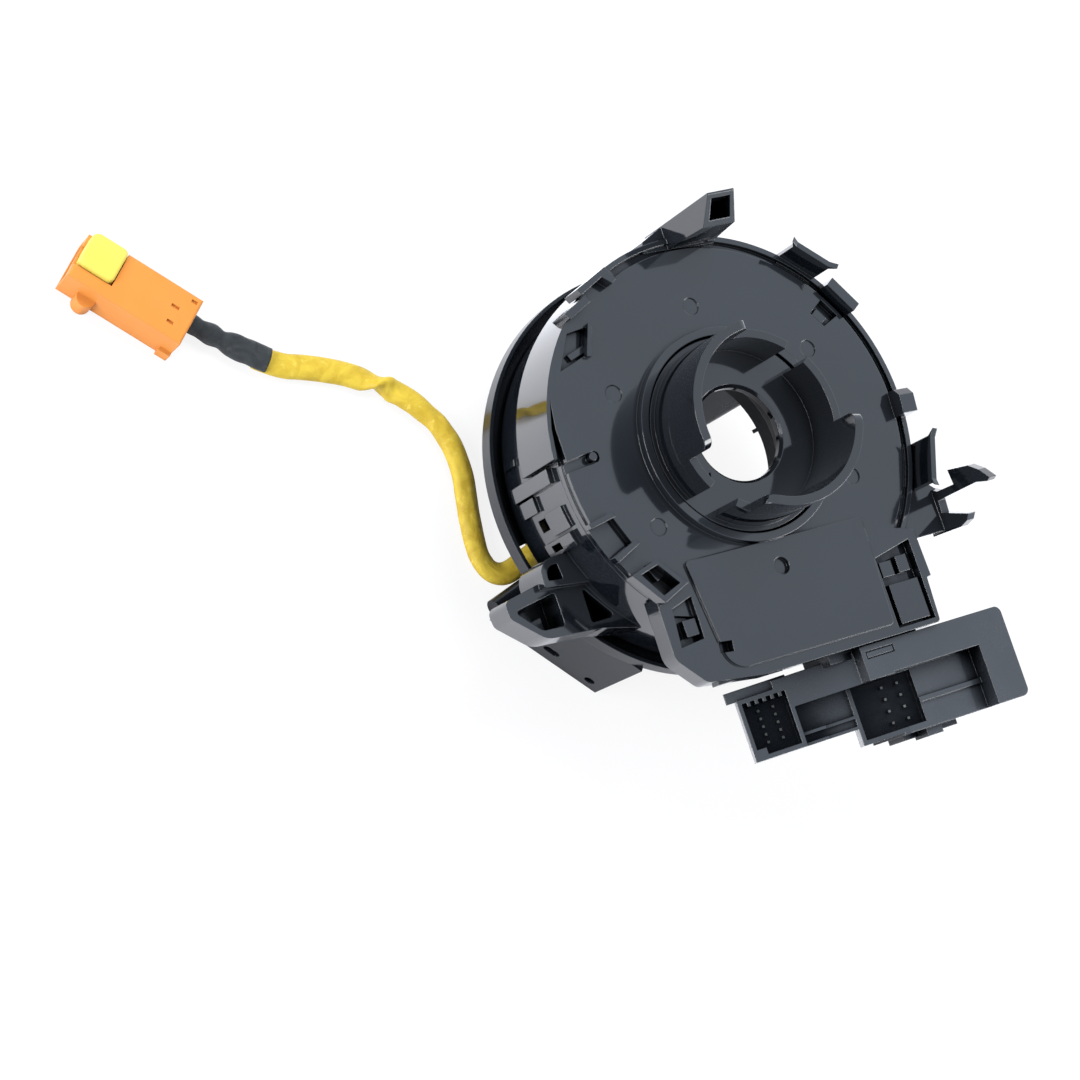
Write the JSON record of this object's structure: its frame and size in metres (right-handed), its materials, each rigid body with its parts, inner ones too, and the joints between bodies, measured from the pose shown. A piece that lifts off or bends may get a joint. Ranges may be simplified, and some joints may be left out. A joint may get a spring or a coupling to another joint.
{
  "type": "steering clock spring",
  "caption": "Rotary ribbon-cable connector that carries horn, switch and airbag circuits from a steering column to a turning wheel.",
  "frame": {"origin": "rotor axis in the plane of the stator's rear face, on the column side", "axes": "+Z along the rotor axis towards the steering column, +X to the right and -Y towards the column connector in the view from the column side"},
  "size_m": [0.203, 0.1856, 0.084],
  "materials": {
    "housing": "smooth bluish black",
    "disc": "smooth bluish black",
    "block": "fine satin",
    "contact": "tinned",
    "slip_film": "smooth film",
    "ribbon": "laminated film",
    "carrier": "natural",
    "roller": "natural",
    "lead": "soft vinyl tube",
    "sleeve": "shrunk tube",
    "plug": "satin",
    "lock": "satin"
  },
  "bodies": {
    "stator": {"stator_plate": "housing", "drum_case": "housing", "connector_block": "block", "socket_pins_small": "contact", "socket_pins_large": "contact", "rear_slip_sheet": "slip_film", "ribbon_outer_coil": "ribbon", "stator_terminal_block": "block"},
    "rotor": {"rotor_disc": "disc", "rotor_sleeve": "disc", "front_slip_sheet": "slip_film", "ribbon_inner_coil": "ribbon", "rotor_terminal_block": "block", "front_box": "disc", "front_connector": "block", "front_connector_pins": "contact", "lead_outlet": "block", "airbag_lead": "lead", "lead_sleeve": "sleeve", "airbag_plug": "plug", "plug_terminals": "contact"},
    "carrier": {"roller_carrier": "carrier", "ribbon_turn": "ribbon"},
    "roller_1": {"roller_1": "roller"},
    "roller_2": {"roller_2": "roller"},
    "roller_3": {"roller_3": "roller"},
    "roller_4": {"roller_4": "roller"},
    "lock": {"plug_lock": "lock"}
  },
  "joints": [
    {"name": "rotor_spin", "type": "hinge", "parent": "stator", "child": "rotor", "pos_m": [0, 0, 0], "axis": [0, 0, 1], "range_deg": [-900, 900]},
    {"name": "carrier_spin", "type": "hinge", "parent": "stator", "child": "carrier", "pos_m": [0, 0, -0.02], "axis": [0, 0, 1], "range_deg": [-380, 380]},
    {"name": "roller_1_spin", "type": "hinge", "parent": "carrier", "child": "roller_1", "pos_m": [0.0372, 0, -0.012], "axis": [0, 0, 1], "range_deg": [-4400, 4400]},
    {"name": "roller_2_spin", "type": "hinge", "parent": "carrier", "child": "roller_2", "pos_m": [0, 0.0372, -0.012], "axis": [0, 0, 1], "range_deg": [-4400, 4400]},
    {"name": "roller_3_spin", "type": "hinge", "parent": "carrier", "child": "roller_3", "pos_m": [-0.0372, 0, -0.012], "axis": [0, 0, 1], "range_deg": [-4400, 4400]},
    {"name": "roller_4_spin", "type": "hinge", "parent": "carrier", "child": "roller_4", "pos_m": [0, -0.0372, -0.012], "axis": [0, 0, 1], "range_deg": [-4400, 4400]},
    {"name": "lock_slide", "type": "slide", "parent": "rotor", "child": "lock", "axis": [-0.7071, 0.7071, 0], "range_m": [0, 0.003]}
  ],
  "couplings": [
    {"joint": "carrier_spin", "follows": "rotor_spin", "ratio": 0.4134},
    {"joint": "roller_1_spin", "follows": "rotor_spin", "ratio": -4.633},
    {"joint": "roller_2_spin", "follows": "rotor_spin", "ratio": -4.633},
    {"joint": "roller_3_spin", "follows": "rotor_spin", "ratio": -4.633},
    {"joint": "roller_4_spin", "follows": "rotor_spin", "ratio": -4.633}
  ]
}
